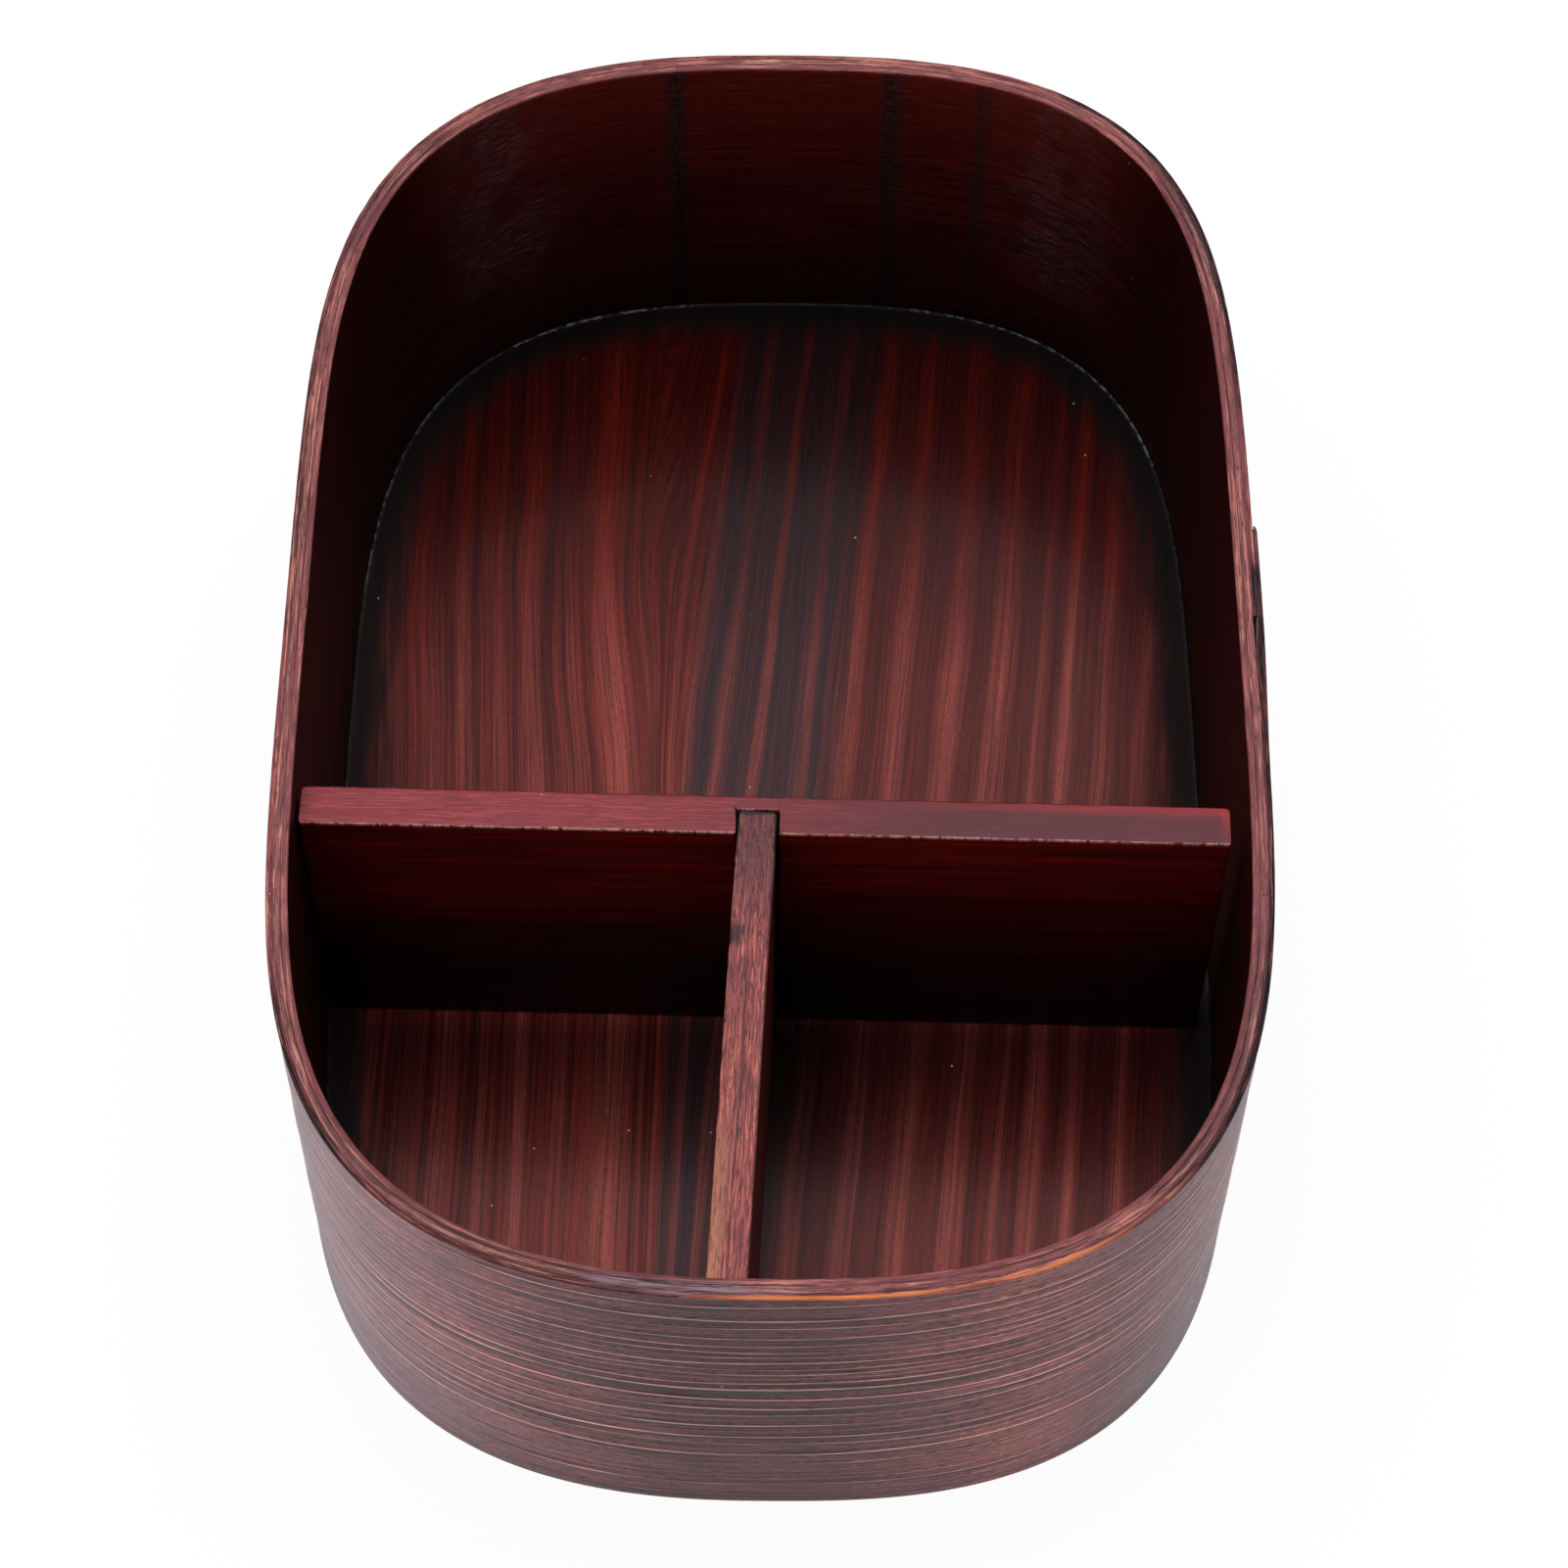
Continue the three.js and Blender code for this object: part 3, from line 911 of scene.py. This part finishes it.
floorStain = {
    "body": rgb(114, 38, 33),
    "light": rgb(143, 66, 58),
    "ember": rgb(124, 30, 17),
    "emberBody": rgb(96, 22, 15),
    "shade": rgb(66, 21, 19),
    "right": rgb(72, 25, 24),
    "dark": rgb(48, 33, 38),
    "black": rgb(7, 6, 8),
    "bead": rgb(128, 134, 136),
    "dust": rgb(200, 195, 190),
    # the light lines of the grain: x where y is 26, half width and strength, left to right
    "lines": [
        (-53.3, 2, 0.4), (-48, 2.2, 0.25), (-43.5, 1.7, 0.5), (-38.5, 1.7, 0.35), (-33.9, 2, 0.75),
        (-28.4, 2.4, 0.35), (-22.6, 3.8, 0.9), (-17.4, 1.8, 0.3), (-13.2, 0.9, 0.75), (-10.6, 1, 0.4),
        (-6.3, 1.5, 0.45), (-1, 1.3, 0.65), (5, 1.6, 0.4), (11, 2, 0.65), (17.8, 2.4, 0.6),
        (24.9, 2.7, 0.65), (31.4, 2.7, 0.75), (37.1, 1.5, 0.6), (41.2, 2, 0.8), (46.2, 1.8, 0.6),
        (52, 1.6, 0.45),
    ],
    # where the dark middle of the board sets in, and where it fades, from left to right
    "darkFrom": (-12.5, -9.5),
    "darkTo": (13, 6),
    # how the lines lean towards the right, and where that begins
    "lean": (0.015, 0.085),
    "leanFrom": (-19, -8),
    # left of there they fan out towards the near end: how far, and where that ends
    "fan": (2.6, 1.8),
    "fanEnd": (-13, -19),
}


def finishFloor():
    stain = floorStain
    material, grain, marks = newFinish("floorStain")
    crusted, bead, inset = (marks.part(k) for k in range(3))
    x, y = grain.part(0), grain.part(1)
    leanLeft, leanMore = stain["lean"]
    lean = x.between(*stain["leanFrom"]) * leanMore + leanLeft
    waver = grain.noise((0.07, 0.02, 0)) * 2 - 1
    fanLeft, fanMore = stain["fan"]
    fan = x.between(*stain["fanEnd"]) * (x.between(-48, -16) * fanMore + fanLeft)
    across = x - (y - 26) * lean + waver - fan * (y.between(48, -4) - 0.386)
    placed = grain.node("CombineXYZ", {0: across, 1: y, 2: 0})
    lines = ((across - at).size().between(half, 0) * strength for at, half, strength in stain["lines"])
    light = sum(lines)
    fine = placed.noise((1.5, 0.011, 0), 3, 0.62)
    fibre = placed.noise((6, 0.06, 0), 3, 0.62)
    dash = placed.noise((4.2, 0.045, 0), 2, 0.6)
    patch = placed.noise((0.14, 0.014, 0))
    vary = placed.noise((0.2, 0.03, 0), 1, 0.5)
    mottle = placed.noise((4.5, 0.9, 0), 3, 0.7)
    middle = across.between(*stain["darkFrom"]) * across.between(*stain["darkTo"])
    right = across.between(8, 14)
    # painted shade: towards the far end the floor and its light lines turn a deeper, darker red
    far = y.between(22, 58)
    body = far.mix(stain["body"], stain["emberBody"])
    bright = far.mix(stain["light"], stain["ember"])
    colour = fine.between(0.34, 0.66).mix(stain["shade"], body)
    colour = (patch.between(0.5, 0.7) * 0.4).mix(colour, stain["shade"])
    colour = (right * 0.55).mix(colour, stain["right"])
    colour = (middle * (fine.between(0.75, 0.35) * 0.45 + 0.55)).mix(colour, stain["dark"])
    # painted shade weakens the light lines towards the far end; painted light strengthens them towards the
    # near end of the small compartments
    light = light * (vary.between(0.3, 0.7) * 0.5 + 0.6) * (1 - far * 0.3 + y.between(-30, -60) * 0.4)
    shine = light * (fine.between(0.3, 0.58) * 0.68 + 0.3)
    colour = shine.mix(colour, bright)
    # painted shade: darker towards the far end, and black along the foot of the wall
    deep = y.between(8, 76)
    colour = colour.dim(1 - deep * (0.68 - light * 0.2))
    # painted shadow: in the small compartments it is darker towards the cross board and beside the long
    # board, and painted light makes it lighter towards the near end
    small = y.between(-28, -34)
    colour = colour.dim(1 - y.between(-66, -40) * small * 0.46).dim(1 + y.between(-42, -60) * 0.26)
    colour = colour.dim(1 - y.between(-46, -36) * small * 0.22)
    # painted shadow of the long board
    beside = x.between(-3.5, -1.5) * x.between(14, 5) * y.between(-28, -32)
    colour = colour.dim(1 - beside * (y.between(-70, -44) * 0.4 + 0.25))
    # painted shade: black along the foot of the wall
    ragged = grain.noise((0.5, 0.06, 0), 3, 0.6) * 9 - 4.5
    paintedRecessShade = (inset + ragged * inset.between(0.5, 5)).between(8.5, 1.5)
    colour = (paintedRecessShade * 0.93).mix(colour, stain["black"])
    colour = colour.dim(fibre.between(0.25, 0.75) * 0.8 + 0.6)
    colour = colour.dim(1 - dash.between(0.56, 0.68) * 0.3)
    colour = colour.dim(mottle.between(0.32, 0.68) * 0.4 + 0.8)
    crust = grain.noise((0.9, 0.9, 0.9), 3, 0.7)
    beaded = bead.between(0.55, 1) * crust.between(0.44, 0.6) * (crusted * 0.6 + 0.06)
    colour = beaded.mix(colour, stain["bead"])
    colour = (dustSpecks(grain) * 0.8).mix(colour, stain["dust"])
    roughness = 0.18 + fibre * 0.12 + paintedRecessShade * 0.3
    return closeFinish(material, colour, roughness, fibre + fine * 0.6, 0.012, 0.1)


crossStain = {
    "deep": rgb(66, 7, 7),
    "red": rgb(116, 13, 11),
    "dark": rgb(22, 5, 6),
    "top": {
        "dark": rgb(114, 42, 48), "body": rgb(140, 52, 58), "light": rgb(162, 66, 70),
        "patch": rgb(126, 46, 52), "fleck": rgb(100, 36, 42),
    },
    "mauve": rgb(78, 36, 44),
    "redEdge": rgb(146, 42, 46),
    # the pale colour of the painted highlight on the near arris
    "arris": rgb(236, 172, 166),
    "backEdge": rgb(56, 18, 22),
    "paintedRecessShade": rgb(14, 8, 9),
    "dust": rgb(190, 180, 176),
}


def finishCross():
    stain = crossStain
    material, grain, marks = newFinish("crossBoardStain")
    rim = marks.part(0)
    along, side, height = (grain.part(k) for k in range(3))
    line = grain.noise((0.016, 0.05, 1.1), 3, 0.6)
    fibre = grain.noise((0.1, 2, 4), 4, 0.62)
    patch = grain.noise((0.03, 0.1, 0.07))
    colour = line.between(0.3, 0.7).mix(stain["deep"], stain["red"])
    colour = (patch.between(0.5, 0.7) * 0.4).mix(colour, stain["dark"])
    colour = colour.dim(fibre.between(0.22, 0.78) * 0.8 + 0.6)
    # painted shade: the faces darken towards the bottom
    colour = colour.dim(height.between(20, 60) * 1.9 + 0.13)
    top = rimColour(grain, stain["top"])[0]
    fadeAndSheen = grain.noise((0.05, 0.5, 0.1)) * 30 + along
    top = (fadeAndSheen.between(-4, 40) * 0.85).mix(top, stain["mauve"])
    edging = (side + fadeAndSheen * 0.004).between(1, 2.3) * along.between(5, 45)
    edging = edging + along.between(55.4, 56.6) * (side.between(-2.4, 1.5) * 0.6 + 0.4)
    top = (edging * 0.7).mix(top, stain["redEdge"])
    worn = grain.noise((1.6, 0.6, 0.6), 4, 0.72)
    rounded = rim.between(0.06, 0.3) * rim.between(0.995, 0.9)
    colour = rim.between(0.25, 0.7).mix(colour, top)
    lip = (along - crossBoard["grooveAt"]).size() - crossBoard["grooveWidth"] / 2
    # painted highlight: a pale, broken line along the near arris and the groove's far lip
    paintedEdgeHighlight = rounded * side.between(0, -1) + rounded * side.between(1.6, 1) * lip.between(0, -0.1)
    colour = (paintedEdgeHighlight * worn.between(0.36, 0.58) * 0.75).mix(colour, stain["arris"])
    backEdge = rounded * side.between(0, 1) * worn.between(0.66, 0.5)
    colour = (backEdge * 0.8).mix(colour, stain["backEdge"])
    # painted shade: black in the groove and along its lips
    paintedRecessShade = (lip + worn * 1.6 - 0.8).between(0.16, 0.02) * side.between(1.2, 0.8) * lip.between(-0.1, 0)
    colour = (paintedRecessShade * 0.92).mix(colour, stain["paintedRecessShade"])
    colour = (dustSpecks(grain) * 0.6).mix(colour, stain["dust"])
    return closeFinish(material, colour, 0.34 + fibre * 0.14, fibre, 0.03, 0.2)


longStain = {
    "deep": rgb(44, 6, 5),
    "red": rgb(90, 16, 12),
    "top": {
        "dark": rgb(106, 48, 54), "body": rgb(166, 80, 77), "light": rgb(208, 112, 94),
        "patch": rgb(122, 60, 68), "fleck": rgb(72, 38, 44),
    },
    "farTop": rgb(84, 44, 50),
    "tan": rgb(170, 108, 82),
    "tanFrom": 46,
    "torn": rgb(50, 28, 32),
    "dent": rgb(50, 30, 32),
    "paintedRecessShade": rgb(14, 8, 9),
    "arris": rgb(204, 134, 122),
}


def finishLong():
    stain = longStain
    material, grain, marks = newFinish("longBoardStain")
    rim, dent = marks.part(0), marks.part(2)
    line = grain.noise((0.016, 0.05, 1.1), 3, 0.6)
    fibre = grain.noise((0.1, 3, 4), 4, 0.62)
    colour = line.between(0.36, 0.66).mix(stain["deep"], stain["red"])
    colour = colour.dim(fibre.between(0.22, 0.78) * 0.7 + 0.65)
    top, topFibre = rimColour(grain, stain["top"])
    back, side = grain.part(0) * -1, grain.part(1)
    top = (back.between(20, 4) * 0.75).mix(top, stain["farTop"])
    tear = grain.noise((0.07, 1.9, 1), 5, 0.75)
    strip = back.between(stain["tanFrom"] - 8, stain["tanFrom"] + 6) * side.between(-0.5, -1.1)
    top = (strip * (topFibre.between(0.3, 0.6) * 0.5 + 0.4)).mix(top, stain["tan"])
    top = (tear.between(0.58, 0.64) * 0.8).mix(top, stain["torn"])
    pores = grain.noise((0.5, 3.2, 1), 4, 0.72).between(0.53, 0.59)
    top = (pores * (back.between(42, 6) * 0.4 + 0.45)).mix(top, stain["torn"])
    # one darker vein runs along the middle of the near half
    vein = (side + line * 2 - 0.9).size().between(0.32, 0.06) * back.between(10, 30)
    top = (vein * tear.between(0.38, 0.48) * 0.75).mix(top, stain["torn"])
    worn = grain.noise((0.5, 0.6, 0.6), 3, 0.66)
    edge = rim.between(0.08, 0.4) * rim.between(0.99, 0.8) * worn.between(0.42, 0.56)
    colour = rim.between(0.25, 0.7).mix(colour, top)
    colour = (edge * 0.45).mix(colour, stain["arris"])
    rounded = rim.between(0.06, 0.3) * rim.between(0.995, 0.9)
    rightEdge = rounded * side.between(0, 1) * worn.between(0.4, 0.5)
    colour = (rightEdge * 0.75).mix(colour, stain["top"]["fleck"])
    dented = dent * rim.between(0.05, 0.5) * side.between(0.2, -1.6)
    colour = (dented * 0.8).mix(colour, stain["dent"])
    # painted shade: black round the end that stands in the groove
    inGroove = back.between(7, 4.5) * (side.size() + worn * 1.4 - 0.7).between(2, 2.3)
    paintedRecessShade = inGroove + (back + worn * 1.2 - 0.6).between(0.5, 0.2)
    colour = (paintedRecessShade * 0.9).mix(colour, stain["paintedRecessShade"])
    return closeFinish(material, colour, 0.46 + fibre * 0.14, fibre + tear * rim * 2, 0.06, 0.3)


# Build, dress and hang each piece on its body

def dress(piece, material, node, body):
    piece.data.materials.append(material)
    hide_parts(node)
    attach(piece, body)
    print(f"{piece.name}: {len(piece.data.polygons)} faces")


dress(buildOuterPly(), finishOuter(), "outer_ply", "box")
dress(buildMiddlePly(), finishMiddle(), "middle_ply", "box")
dress(buildInnerPly(), finishInner(), "inner_ply", "box")
dress(buildFloorBoard(), finishFloor(), "floor_board", "box")
dress(buildCrossBoard(), finishCross(), "cross_divider", "cross_board")
dress(buildLongBoard(), finishLong(), "long_divider", "long_board")


# The table, the light and the camera

studio = {
    "tableSize": 40,
    "tableColour": (0.95, 0.95, 0.95, 1),
    "tableWhite": 0.94,
    "skyLight": 0.16,
    "key": {"place": (-0.08, 0.2, 1.33), "size": (2.4, 1.3), "power": 28.5},
}


def layTable():
    size = studio["tableSize"]
    mesh = bpy.data.meshes.new("table")
    corners = [(-size, -size, 0), (size, -size, 0), (size, size, 0), (-size, size, 0)]
    mesh.from_pydata(corners, [], [(0, 1, 2, 3)])
    material = bpy.data.materials.new("tableWhite")
    start = emptyTree(material)
    matt = start.node("BsdfDiffuse", {"Color": studio["tableColour"]})
    white = start.node("Emission", {"Color": (1, 1, 1, 1), "Strength": 1})
    # the camera and glossy or clear surfaces see it nearly white
    rays = ("Camera", "Glossy", "Transmission")
    seen = sum(start.node("LightPath", {}, out=f"Is {ray} Ray") for ray in rays)
    share = seen.between(0, 1) * studio["tableWhite"]
    body = start.node("MixShader", {0: share, 1: matt, 2: white})
    start.node("OutputMaterial", {"Surface": body})
    mesh.materials.append(material)
    intoScene("table", mesh)


def lightSky():
    world = bpy.data.worlds.new("studio")
    bpy.context.scene.world = world
    start = emptyTree(world)
    sky = start.node("Background", {"Color": (1, 1, 1, 1), "Strength": studio["skyLight"]})
    start.node("OutputWorld", {"Surface": sky})


def hangLamp(name, lamp):
    light = bpy.data.lights.new(name, "AREA")
    light.shape = "RECTANGLE"
    light.size, light.size_y = lamp["size"]
    light.energy = lamp["power"]
    hung = intoScene(name, light)
    hung.location = lamp["place"]
    hung.rotation_euler = (-Vector(lamp["place"])).to_track_quat("-Z", "Y").to_euler()


camera = {
    "place": (-0.145, -285.21, 459.63),
    "down": 57.119,
    "yaw": 0.3148,
    "roll": 0.6367,
    "focalPerWidth": 2.506279,
    "sensor": 36,
    "clip": (0.01, 30),
}


def placeCamera():
    data = bpy.data.cameras.new("camera")
    data.sensor_width = camera["sensor"]
    data.lens = camera["focalPerWidth"] * camera["sensor"]
    data.clip_start, data.clip_end = camera["clip"]
    eye = intoScene("camera", data)
    tilt = Matrix.Rotation(math.radians(90 - camera["down"]), 4, "X")
    swing = Matrix.Rotation(math.radians(-camera["yaw"]), 4, "Z")
    roll = Matrix.Rotation(math.radians(camera["roll"]), 4, "Z")
    eye.matrix_world = Matrix.Translation(Vector(camera["place"]) * mm) @ swing @ tilt @ roll
    bpy.context.scene.camera = eye


layTable()
lightSky()
hangLamp("keyLamp", studio["key"])
placeCamera()
bpy.context.scene.view_settings.view_transform = "Standard"
print("studio and camera are set")
